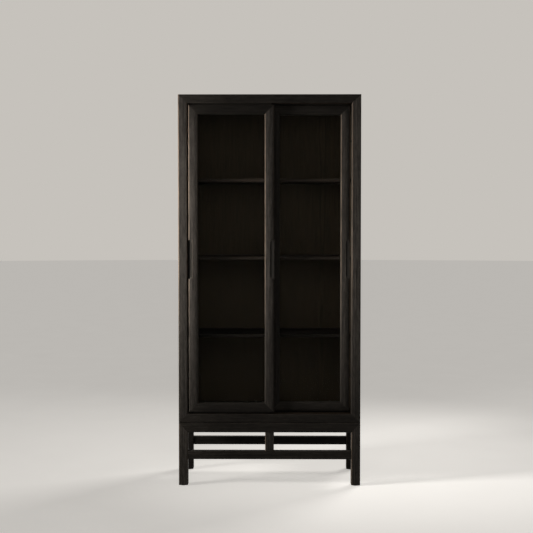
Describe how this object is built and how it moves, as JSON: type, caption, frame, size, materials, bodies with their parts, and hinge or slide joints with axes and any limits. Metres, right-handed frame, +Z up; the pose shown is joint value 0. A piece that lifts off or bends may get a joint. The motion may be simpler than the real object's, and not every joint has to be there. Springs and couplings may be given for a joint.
{
  "type": "kitchen cabinet",
  "caption": "Tall dark oak cabinet with glazed sliding doors in two tracks over open shelves, on a low stand with legs and stretchers.",
  "frame": {"origin": "on the floor, under the middle of the cabinet", "axes": "+Z up, along the height; -Y out of the front; +X to the right seen from the front"},
  "size_m": [1, 0.45, 2.15],
  "materials": {
    "black_oak": "open-grained oak, stained near black, satin",
    "inside_oak": "oak stained dark brown-black, satin",
    "glass": "clear float glass",
    "runner": "waxed hardwood",
    "metal": "darkened steel",
    "bumper": "matt",
    "glide": "matt"
  },
  "bodies": {
    "case": {"leg_front_left": "black_oak", "leg_front_right": "black_oak", "leg_rear_left": "black_oak", "leg_rear_right": "black_oak", "stand_front_rail": "black_oak", "stand_rear_rail": "black_oak", "stand_left_rail": "black_oak", "stand_right_rail": "black_oak", "front_stretcher": "black_oak", "rear_stretcher": "black_oak", "front_strut": "black_oak", "rear_strut": "black_oak", "case_post_front_left": "black_oak", "case_post_front_right": "black_oak", "case_post_rear_left": "black_oak", "case_post_rear_right": "black_oak", "case_front_top_rail": "black_oak", "case_front_bottom_rail": "black_oak", "case_rear_top_rail": "black_oak", "case_rear_bottom_rail": "black_oak", "case_left_top_rail": "black_oak", "case_left_bottom_rail": "black_oak", "case_right_top_rail": "black_oak", "case_right_bottom_rail": "black_oak", "side_panel_left": "inside_oak", "side_panel_right": "inside_oak", "case_deck": "inside_oak", "case_top_panel": "inside_oak", "back_panel": "inside_oak", "lower_shelf": "inside_oak", "middle_shelf": "inside_oak", "upper_shelf": "inside_oak", "upper_track": "black_oak", "lower_track": "black_oak", "shelf_studs": "metal", "back_panel_screws": "metal", "case_to_stand_bolts": "metal", "door_bumpers": "bumper", "foot_glides": "glide"},
    "front_door": {"front_door_left_stile": "black_oak", "front_door_right_stile": "black_oak", "front_door_bottom_rail": "black_oak", "front_door_top_rail": "black_oak", "front_door_glass": "glass", "front_door_glazing_beads": "black_oak", "front_door_lower_runner": "runner", "front_door_upper_runner": "runner"},
    "rear_door": {"rear_door_left_stile": "black_oak", "rear_door_right_stile": "black_oak", "rear_door_bottom_rail": "black_oak", "rear_door_top_rail": "black_oak", "rear_door_glass": "glass", "rear_door_glazing_beads": "black_oak", "rear_door_lower_runner": "runner", "rear_door_upper_runner": "runner"}
  },
  "joints": [
    {"name": "front_door_slide", "type": "slide", "parent": "case", "child": "front_door", "axis": [1, 0, 0], "range_m": [0, 0.418]},
    {"name": "rear_door_slide", "type": "slide", "parent": "case", "child": "rear_door", "axis": [1, 0, 0], "range_m": [-0.449, 0]}
  ]
}
